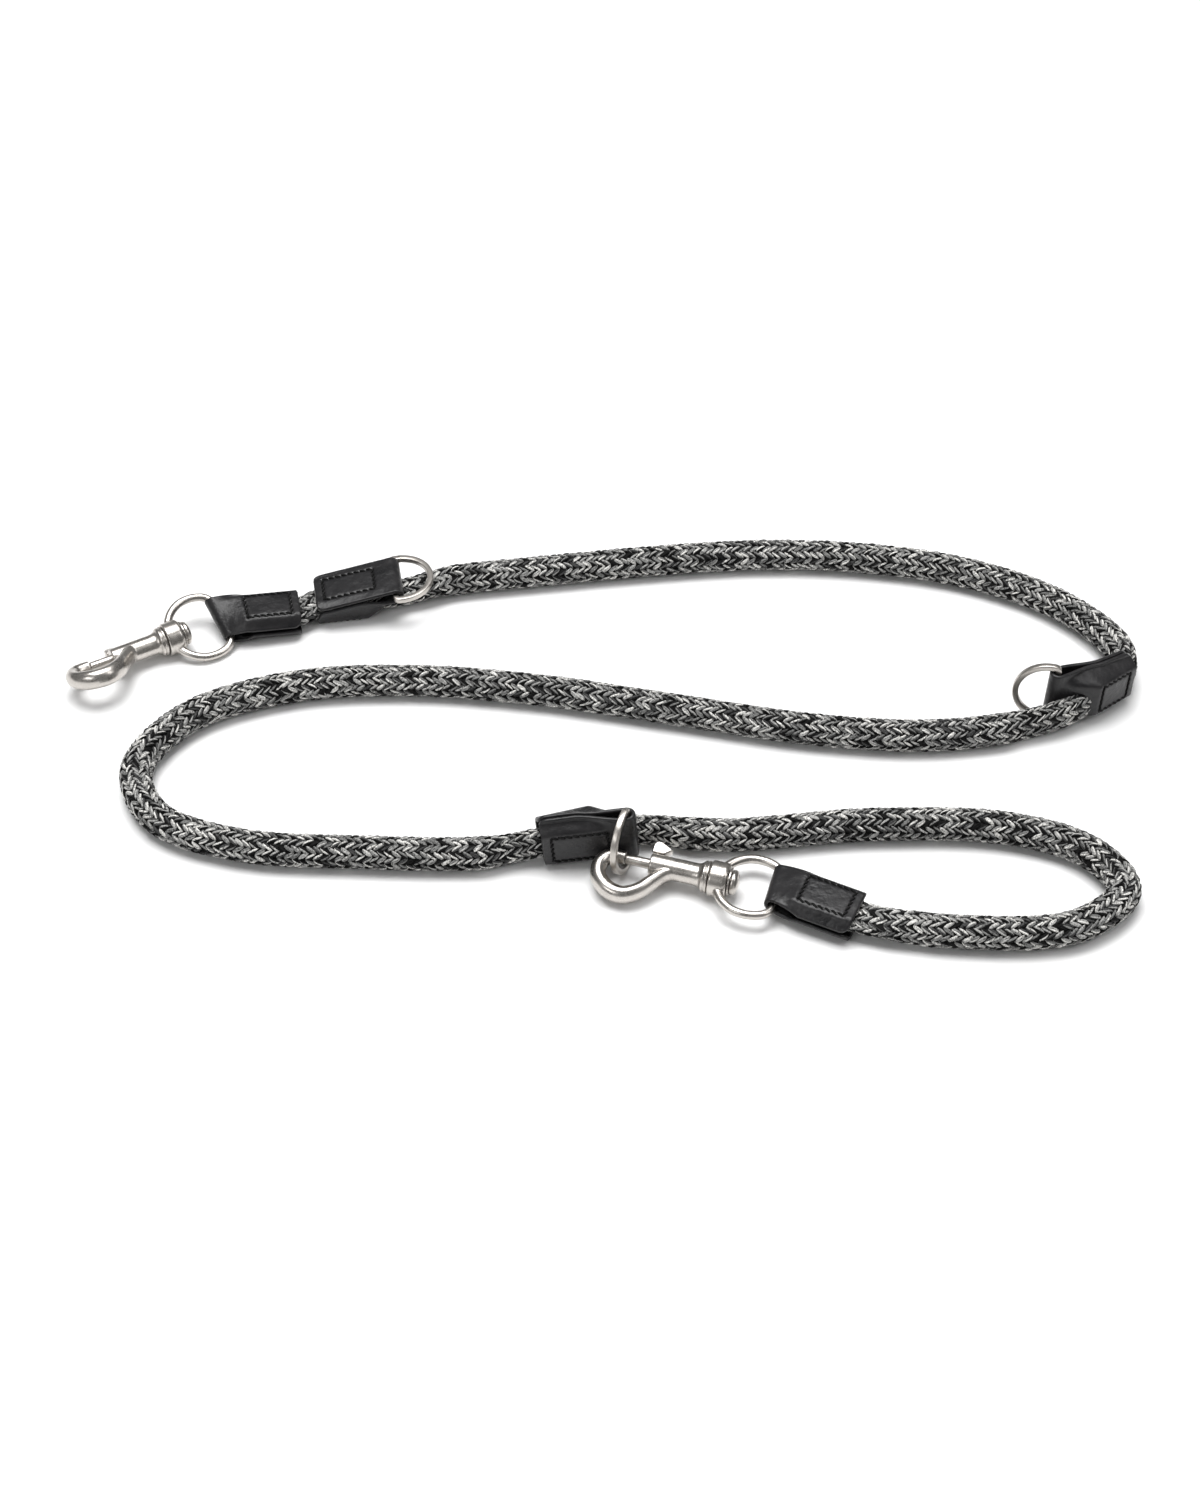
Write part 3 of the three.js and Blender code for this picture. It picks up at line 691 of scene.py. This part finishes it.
def middle_surface(strap, x, z, y, upper):
    """Where the strap's points lie: closed beside the rope, narrowed, skewed and turned at the fold."""
    bar = WRAP_L - FOLD_R
    share = np.clip((x - TWIST_T) / (bar - TWIST_T), 0, 1)
    slant = smoothstep(np.abs(y - strap["rope_at"]), CREST_V, SEAM_V)
    if strap["keeper"]:
        even = np.clip(x / (KEEPER_L - FOLD_R), 0, 1)
        late = smoothstep(x, 15, KEEPER_L - FOLD_R)
        run = even + strap["late"] * (late - even)
        bend = FOLD_R - LEATHER / 2
        crest = strap["edge"] + (BAR_LIFT + bend - strap["edge"]) * run
        under = crest - (CLOSED + (2 * bend - CLOSED) * smoothstep(x, 20, 37))
        rim = np.where(upper, crest, under)
        z = z + np.where(x > KEEPER_L - FOLD_R, 0, slant * (rim - z))
    else:
        low = strap["edge"] / (HALF_T - LEATHER / 2)
        z = z * (1 - (1 - share) * slant * (1 - low))
    y = y * (1 - share * (1 - strap["fold_width"]))
    x = x + share * math.tan(math.radians(strap["skew"])) * y
    twist = share * math.radians(strap["twist"])
    turned = (y * np.cos(twist) - z * np.sin(twist), y * np.sin(twist) + z * np.cos(twist))
    return np.stack([x, *turned], axis=-1)


class StrapSurface:
    """A folded strap's middle surface on a grid, with points wanted at (s, v, n)."""

    def __init__(self, strap):
        line = fold_line(strap["keeper"])
        self.total = lengths(line)[-1]
        self.s = np.arange(0, self.total + 0.3, 0.5)
        self.s *= self.total / self.s[-1]
        along = lengths(line)
        self.x = np.interp(self.s, along, line[:, 0])
        z = np.interp(self.s, along, line[:, 1])
        self.v = np.linspace(-STRAP_W / 2, STRAP_W / 2, 61)
        upper = (self.s > self.total * UPPER_FROM[strap["keeper"]])[:, None] + 0 * self.v > 0
        across = self.v + 0 * self.x[:, None]
        x = self.x[:, None] + 0 * across
        self.grid = middle_surface(strap, x, z[:, None] + 0 * across, across, upper)
        ds = np.gradient(self.grid, self.s, axis=0)
        dv = np.gradient(self.grid, self.v, axis=1)
        self.normal = unit(np.cross(dv, ds))

    def at(self, s, v, n):
        i = np.clip(np.interp(s, self.s, np.arange(len(self.s))), 0, len(self.s) - 1.001)
        j = np.clip((v + STRAP_W / 2) / STRAP_W * (len(self.v) - 1), 0, len(self.v) - 1.001)
        i0, j0 = i.astype(int), j.astype(int)
        fi, fj = (i - i0)[..., None], (j - j0)[..., None]
        out = 0
        for table, weight in ((self.grid, 1), (self.normal, np.asarray(n)[..., None])):
            value = (table[i0, j0] * (1 - fi) * (1 - fj) + table[i0 + 1, j0] * fi * (1 - fj)
                     + table[i0, j0 + 1] * (1 - fi) * fj + table[i0 + 1, j0 + 1] * fi * fj)
            out = out + value * weight
        return out


def stitch_places(strap, total, side):
    """Middles and directions of the stitches round the sewn rectangle, in s and v."""
    t0, t1, half = STITCH_RECT[strap["keeper"]]
    if side == "bobbin" and strap["keeper"]:
        t1 = HOLE_T - 1.6
    v0 = strap["rope_at"]
    corners = np.array([(t0, v0 - half), (t1, v0 - half), (t1, v0 + half), (t0, v0 + half), (t0, v0 - half)])
    if side == "needle":
        corners[:, 0] = total - corners[:, 0]
    out = []
    for a, b in zip(corners, corners[1:]):
        run = np.linalg.norm(b - a)
        count = max(2, round(run / STITCH_GAP))
        for k in range(count):
            out.append((a + (b - a) * (k + 0.5) / count, (b - a) / run, run / count))
    return out


def strap_points(surface, stitches):
    """The strap as a closed shell: rounded edges and corners, a channel and needle holes along the seam."""
    total = surface.total
    s = surface.s
    half = LEATHER / 2
    edge = 6
    v_flat = np.linspace(-1, 1, 53)
    v_list = list(v_flat[:-1]) + [1.0] * (edge + 1) + list(v_flat[::-1][1:-1]) + [-1.0] * (edge + 1)
    turn = np.linspace(0, math.pi, edge + 1)
    n_list = [1.0] * 52 + list(np.cos(turn)) + [-1.0] * 51 + list(-np.cos(turn))
    out_list = [0.0] * 52 + list(np.sin(turn)) + [0.0] * 51 + list(-np.sin(turn))
    v_unit, n_unit, out_unit = map(np.array, (v_list, n_list, out_list))
    from_end = np.minimum(s, total - s)
    corner = np.clip(CORNER_R - from_end, 0, CORNER_R)
    shrink = CORNER_R - np.sqrt(CORNER_R ** 2 - corner ** 2)
    v_half = STRAP_W / 2 - shrink - EDGE_ROUND
    soft = np.clip(1 - from_end / EDGE_ROUND, 0, 1)
    thick = np.sqrt(np.clip(1 - soft ** 2, 0.09, 1))
    v = v_half[:, None] * v_unit + out_unit * EDGE_ROUND * thick[:, None]
    n = half * n_unit * thick[:, None]
    ss = s[:, None] + 0 * v
    depth = np.zeros_like(v)
    for (cs, cv), (ds, dv), run in stitches:
        a = (ss - cs) * ds + (v - cv) * dv
        b = -(ss - cs) * dv + (v - cv) * ds
        beyond = np.maximum(np.abs(a) - run / 2, 0)
        depth = np.maximum(depth, 0.30 * np.exp(-((b ** 2 + beyond ** 2) / 0.85 ** 2)))
        for sign in (-1, 1):
            depth = np.maximum(depth, 0.9 * np.exp(-(((a - sign * run / 2) ** 2 + b ** 2) / 0.5 ** 2)))
    n = n - depth * (n_unit > 0.5)
    grid = surface.at(ss, v, n)
    count, around = grid.shape[:2]
    here = np.arange(count - 1)[:, None] * around
    there = here + around
    a = np.arange(around)[None]
    b = (a + 1) % around
    quads = np.stack([here + a, here + b, there + b, there + a], axis=-1).reshape(-1, 4)
    caps = [np.arange(around)[None, ::-1], (np.arange(around) + (count - 1) * around)[None]]
    return grid.reshape(-1, 3), [quads, *caps]


def strand_mesh(lines, outward, radii, sides=8):
    """Closed strands, each a row of ring centres."""
    lines = np.array(lines)
    outward = unit(np.array(outward))
    tangent = unit(np.gradient(lines, axis=1))
    flat = unit(np.cross(tangent, outward))
    lift = np.cross(flat, tangent)
    around = np.arange(sides) / sides * 2 * math.pi
    ring = np.cos(around)[:, None] * flat[:, :, None] + np.sin(around)[:, None] * lift[:, :, None]
    points = lines[:, :, None] + np.asarray(radii)[None, :, None, None] * ring
    strands, rings = lines.shape[:2]
    per = rings * sides
    start = np.arange(strands)[:, None, None] * per
    at = np.arange(rings - 1)[None, :, None] * sides
    a = np.arange(sides)[None, None]
    b = (a + 1) % sides
    here, there = start + at, start + at + sides
    quads = np.stack([here + a, there + a, there + b, here + b], axis=-1)
    first = np.arange(strands)[:, None] * per + np.arange(sides)[None]
    last = first[:, ::-1] + per - sides
    return points.reshape(-1, 3), [quads.reshape(-1, 4), first, last]


def make_strap(name, strap):
    surface = StrapSurface(strap)
    matrix = STRAP_MATRIX[name]
    sides = {side: stitch_places(strap, surface.total, side) for side in ("needle", "bobbin")}
    points, groups = strap_points(surface, sides["needle"] + sides["bobbin"])
    obj = make_object(name + "_leather", make_mesh(name + "_leather", placed(points, matrix), groups))
    start, stop = stretch_of(name)
    room = rope_tube(ROPE_R + 0.6, 32, 1.5, start, stop)
    mesh = cut_out(obj, name + "_leather", [room])
    shade_smooth(mesh, 50)
    piece(name + "_leather", mesh, HIDE, "leash", "leather", name)
    for side, stitches in sides.items():
        lines, outs = [], []
        radii = np.array([0.18, 0.42, 0.52, 0.54, 0.52, 0.42, 0.18])
        for (cs, cv), (ds, dv), run in stitches:
            t = np.linspace(-0.5, 0.5, len(radii)) * (run + 0.25)
            tilt = 1.35 * t / run
            s = cs + ds * t - dv * tilt
            v = cv + dv * t + ds * tilt
            lift = LEATHER / 2 - 0.62 + 0.58 * (1 - (2 * t / (run + 0.25)) ** 2)
            lines.append(placed(surface.at(s, v, lift), matrix))
            outs.append((surface.at(s, v, lift + 1) - surface.at(s, v, lift)) @ matrix[:3, :3].T)
        made = make_mesh(f"{name}_{side}_stitches", *strand_mesh(lines, outs, radii))
        piece(f"{name}_{side}_stitches", made, THREAD, "leash", "stitch_thread", f"{name}_{side}_thread")


for strap_name, strap_values in STRAPS.items():
    make_strap(strap_name, strap_values)


# ---------- D-rings ----------
def ring_shape():
    """A closed square stock with eased edges, bar on y through the origin, crown towards +x."""
    half = RING_W / 2 - RING_STOCK / 2
    shoulder = 3.2
    crown = RING_D - RING_STOCK
    turn = np.linspace(-math.pi / 2, math.pi / 2, 60)
    arc = [(shoulder + (crown - shoulder) * math.cos(a), half * math.sin(a)) for a in turn]
    r = 1.7
    corner = []
    for a in np.linspace(0, math.pi / 2, 8):
        corner.append((r - r * math.sin(a), half - r + r * math.cos(a)))
    bar = [(0, y) for y in np.linspace(half - r, -half + r, 16)[1:-1]]
    other = [(x, -y) for x, y in corner[::-1]]
    line = np.array([*arc, *corner, *bar, *other])
    line = np.column_stack([line, np.zeros(len(line))])
    tangent = unit(np.roll(line, -1, axis=0) - np.roll(line, 1, axis=0))
    inward = np.cross([0, 0, 1], tangent)
    axis = np.broadcast_to([0.0, 0.0, 1.0], line.shape)
    h, e = RING_STOCK / 2, 0.5
    section = []
    for sx, sy, first in ((1, 1, 0), (-1, 1, 1), (-1, -1, 2), (1, -1, 3)):
        for a in np.linspace(0, math.pi / 2, 4):
            angle = first * math.pi / 2 + a
            section.append((sx * (h - e) + e * math.cos(angle), sy * (h - e) + e * math.sin(angle)))
    return tube_mesh(line, inward, axis, section, closed=True)


RING_SHAPE = ring_shape()
for spot, turn_degrees in RING_TURN.items():
    to_bar = np.array(Matrix.Translation((KEEPER_L - FOLD_R, 0, BAR_LIFT))
                      @ Matrix.Rotation(math.radians(-turn_degrees), 4, "Y"))
    ring_matrix = STRAP_MATRIX[f"{spot}_ring_keeper"] @ to_bar
    ring_mesh = make_mesh(f"{spot}_d_ring_bent", placed(RING_SHAPE[0], ring_matrix), RING_SHAPE[1])
    shade_smooth(ring_mesh, 40)
    piece(f"{spot}_d_ring_bent", ring_mesh, RING_NICKEL, f"{spot}_ring", "satin_nickel", f"{spot}_d_ring")


# ---------- swivel snaps ----------
HOOK_STATIONS = 90
EYE_STATIONS = 150
CASTING_VOXEL = 0.24


def swept_round(line, half_in_plane, half_across, sides=28):
    """A tube on a line in the xy plane with two half widths at each ring, its ends closed."""
    line = np.column_stack([line, np.zeros(len(line))]) if line.shape[1] == 2 else line
    tangent = unit(np.gradient(line, axis=0))
    inward = np.cross([0, 0, 1], tangent)
    axis = np.broadcast_to([0.0, 0.0, 1.0], line.shape)
    unit_ring = circle(1, sides)
    section = unit_ring[None] * np.stack([half_in_plane, half_across], axis=1)[:, None]
    return tube_mesh(line, inward, axis, section)


def hook_stock():
    line = spaced(catmull(HOOK), HOOK_STATIONS)
    along = np.linspace(0, 1, HOOK_STATIONS)
    thin = np.interp(along, [0, 0.3, 0.5, 0.75, 1], [3.0, 3.45, 3.85, 3.5, 2.9])
    wide = np.interp(along, [0, 0.3, 0.6, 0.8, 1], [4.2, 4.6, 4.6, 3.9, 3.2])
    return swept_round(line, thin, wide)


def rod(x0, x1, radius, segments=48):
    return lathe([(x0, 0), (x0, radius), (x1, radius), (x1, 0)], segments)


def block(low, high):
    xs, ys, zs = zip(low, high)
    corners = np.array([[x, y, z] for x in xs for y in ys for z in zs])
    faces = np.array([[0, 1, 3, 2], [4, 6, 7, 5], [0, 4, 5, 1], [2, 3, 7, 6], [0, 2, 6, 4], [1, 5, 7, 3]])
    return corners, [faces]


def body_mesh():
    barrel = lathe([
        (BARREL_FRONT, 0), (BARREL_FRONT, 4.5), (BARREL_FRONT + 0.5, 5.0), (-7, 5.0),
        (-4.8, 5.15), (-3.6, 5.7), (-3.0, 6.5), (-2.4, 6.95), (-1.9, 7.0), (-1.6, 6.6),
        (-1.3, 6.6), (-1.0, 7.15), (-0.3, 7.15), (0, 6.8), (0, 0),
    ], 96)
    slot_length = BOLT_TRAVEL + 2 * SLOT_HALF
    slot_start = KNOB_AT - SLOT_HALF
    cuts = [
        rod(BARREL_FRONT - 0.5, BORE_END, BORE_R),
        rod(NOSE_FACE - 2.4, BARREL_FRONT, BOLT_R + 0.35),
        rod(-4.8, 0.5, PIVOT_R + 0.35),
        block((slot_start, -6.5, -SLOT_HALF), (slot_start + slot_length, 0, SLOT_HALF)),
    ]
    mesh = fused("snap_body", joined(barrel, hook_stock()), CASTING_VOXEL, 5, cuts)
    shade_smooth(mesh, 42)
    return mesh


def bolt_shape():
    return lathe(rounded([
        (NOSE_FACE + 0.4, 0), (NOSE_FACE + 0.4, BOLT_R), (-19.8, BOLT_R),
        (-19.8, 0.9), (-16.6, 0.9), (-16.6, 0),
    ], 0.45), 48)


def knob_mesh():
    outline = np.array([
        (KNOB_AT - 2.6, -5.5), (KNOB_AT + 2.8, -5.5), (KNOB_AT + 6.1, -8.3), (KNOB_AT + 0.6, -11.2),
        (KNOB_AT - 0.9, -11.4), (KNOB_AT - 2.0, -10.8), (KNOB_AT - 2.6, -9.4),
    ])
    count = len(outline)
    half = 1.9
    top = np.column_stack([outline, np.full(count, half)])
    low = np.column_stack([outline, np.full(count, -half)])
    a = np.arange(count)
    b = (a + 1) % count
    sides = np.stack([a, b, b + count, a + count], axis=1)[:, ::-1]
    faces = [sides, a[None], a[None, ::-1] + count]
    obj = make_object("knob", make_mesh("knob", np.vstack([top, low]), faces))
    bevel = obj.modifiers.new("ease", "BEVEL")
    bevel.width = 0.55 * MM
    bevel.segments = 4
    bevel.limit_method = "ANGLE"
    mesh = baked(obj, "knob")
    post = rod(-1, 1, 1.0, 24)
    points = post[0]
    stem = np.stack([points[:, 1] + KNOB_AT, points[:, 0] * 2.7 - 3.4, points[:, 2]], axis=1)
    pin = make_object("pin", make_mesh("pin", stem, [g[:, ::-1] for g in post[1]]))
    block_obj = make_object("block", mesh)
    union = block_obj.modifiers.new("join", "BOOLEAN")
    union.operation = "UNION"
    union.solver = "EXACT"
    union.object = pin
    out = baked(block_obj, "knob")
    bpy.data.objects.remove(pin)
    shade_smooth(out, 35)
    return out


def spring_shape():
    steps = SPRING_COILS * 28
    t = np.linspace(0, 1, steps)
    turn = t * SPRING_COILS * 2 * math.pi
    along = -19.2 + (BORE_END - 0.6 + 19.2) * t
    line = np.column_stack([along, SPRING_R * np.cos(turn), SPRING_R * np.sin(turn)])
    tangent = unit(np.gradient(line, axis=0))
    radial = unit(line * (0, 1, 1))
    other = np.cross(tangent, radial)
    return tube_mesh(line, radial, other, circle(0.275, 10))


def eye_mesh():
    side = [(x, y) for x, y in EYE_SIDE]
    other = [(x, -y) for x, y in EYE_SIDE[::-1]]
    bar = [(EYE_BAR, 6), (EYE_BAR, 0), (EYE_BAR, -6)]
    line = spaced(catmull([*side, *bar, *other]), EYE_STATIONS)
    from_bar = np.abs(np.linspace(-1, 1, EYE_STATIONS))
    wire_r = np.interp(from_bar, [0, 0.14, 0.35, 1], [EYE_WIRE, EYE_WIRE, 1.95, 2.05])
    wire = swept_round(line, wire_r, wire_r, 24)
    boss = lathe([
        (FACE_GAP, 0), (FACE_GAP, BOSS_R - 0.5), (FACE_GAP + 0.5, BOSS_R), (BOSS_L - 1.1, BOSS_R),
        (BOSS_L - 0.1, BOSS_R - 0.35), (BOSS_L + FACE_GAP, BOSS_R - 1.0), (BOSS_L + FACE_GAP, 0),
    ], 96)
    mesh = fused("swivel_eye", joined(boss, wire), CASTING_VOXEL, 4, [rod(-1, BOSS_L + 2, PIVOT_R + 0.35)])
    shade_smooth(mesh, 42)
    return mesh


def washer_shape():
    start = BOSS_L + 2 * FACE_GAP
    inner, outer = PIVOT_R + 0.35, 6.3
    section = rounded([(start, inner), (start, outer), (start + 0.8, outer), (start + 0.8, inner)], 0.22)
    turn = np.arange(64) / 64 * 2 * math.pi
    points = np.empty((64, len(section), 3))
    points[..., 0] = section[None, :, 0]
    points[..., 1] = section[None, :, 1] * np.cos(turn)[:, None]
    points[..., 2] = section[None, :, 1] * np.sin(turn)[:, None]
    around = len(section)
    here = np.arange(64)[:, None] * around
    there = ((np.arange(64) + 1) % 64)[:, None] * around
    a = np.arange(around)[None]
    b = (a + 1) % around
    quads = np.stack([here + a, here + b, there + b, there + a], axis=-1).reshape(-1, 4)
    return points.reshape(-1, 3), [quads]


def rivet_shape():
    head = BOSS_L + 3 * FACE_GAP + 0.8
    turn = np.linspace(0, math.pi / 2 - 0.08, 12)
    dome = [(head + 1.0 + 2.2 * math.sin(a), 5.6 * math.cos(a) ** 0.8) for a in turn]
    stem = [(-4.4, 0), (-4.4, PIVOT_R), (head, PIVOT_R), (head, 5.3), (head + 0.35, 5.6)]
    return lathe([*stem, *dome, (head + 3.2, 0)], 64)


def moved_mesh(source, name, matrix):
    mesh = source.copy()
    mesh.name = name
    m = Matrix([list(r) for r in matrix])
    m.translation *= MM
    mesh.transform(m)
    return mesh


def shaped(name, shape, angle):
    mesh = make_mesh(name, *shape)
    shade_smooth(mesh, angle)
    return mesh


SOURCES = {
    "snap_body": body_mesh(),
    "snap_bolt": shaped("bolt", bolt_shape(), 50),
    "snap_thumb_knob": knob_mesh(),
    "snap_spring": shaped("spring", spring_shape(), 60),
    "swivel_rivet": shaped("rivet", rivet_shape(), 50),
    "swivel_washer": shaped("washer", washer_shape(), 50),
    "swivel_eye": eye_mesh(),
}
BODY_OF = {
    "snap_body": "snap", "snap_bolt": "bolt", "snap_thumb_knob": "bolt", "snap_spring": "snap",
    "swivel_rivet": "snap", "swivel_washer": "snap", "swivel_eye": "eye",
}
for end, snap in SNAPS.items():
    eye_frame = frame_matrix(snap["at"], snap["heading"], snap["pitch"], snap["eye_roll"])
    hook_frame = frame_matrix(snap["at"], snap["heading"], snap["pitch"], 180 - snap["roll"])
    for kind, source in SOURCES.items():
        matrix = eye_frame if kind == "swivel_eye" else hook_frame
        node_name = f"{end}_{kind}"
        finish_slot = "spring_steel" if kind == "snap_spring" else "satin_nickel"
        metal = STEEL if kind == "snap_spring" else NICKEL
        made = piece(node_name + "_cast", moved_mesh(source, node_name + "_cast", matrix),
                     metal, f"{end}_{BODY_OF[kind]}", finish_slot, node_name)
        if kind == "snap_spring":
            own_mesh(made)
for source in SOURCES.values():
    bpy.data.meshes.remove(source)

# ---------- floor, lights, world ----------
floor_points = np.array([[-2500, -2500, 0], [2500, -2500, 0], [2500, 2500, 0], [-2500, 2500, 0]], float)
floor = make_object("floor", make_mesh("floor", floor_points, [np.array([[0, 1, 2, 3]])]))
floor.location.z = -0.0002
floor.data.materials.append(floor_material())

world = bpy.data.worlds.new("studio")
world.use_nodes = True
studio = world.node_tree
studio.nodes["Background"].inputs["Color"].default_value = (1, 1, 1, 1)
studio.nodes["Background"].inputs["Strength"].default_value = 0.20
backdrop = node(studio, "ShaderNodeBackground", {"Color": (1, 1, 1, 1), "Strength": 1.0})
seen_or_lit = node(studio, "ShaderNodeMixShader", {
    0: node(studio, "ShaderNodeLightPath").outputs["Is Camera Ray"],
    1: studio.nodes["Background"].outputs[0], 2: backdrop.outputs[0],
})
studio.links.new(seen_or_lit.outputs[0], studio.nodes["World Output"].inputs["Surface"])
scene.world = world
scene.view_settings.view_transform = "Standard"
sun = bpy.data.lights.new("sky_panel", "SUN")
sun.energy = 1.9
sun.angle = math.radians(42)
sun_lamp = bpy.data.objects.new("sky_panel", sun)
sun_lamp.rotation_euler = (Vector((0, 0, 0)) - Vector((-0.12, 0.3, 1.35))).to_track_quat("-Z", "Y").to_euler()
scene.collection.objects.link(sun_lamp)
area_light("key", (-0.12, 0.28, 1.35), (0, 0.0, 0), (1.4, 0.7), 13)
area_light("fill", (1.0, -0.3, 1.2), (0, 0, 0), (0.5, 0.9), 4)
area_light("front", (-0.9, -0.9, 0.9), (0, 0, 0), (0.7, 0.4), 3)
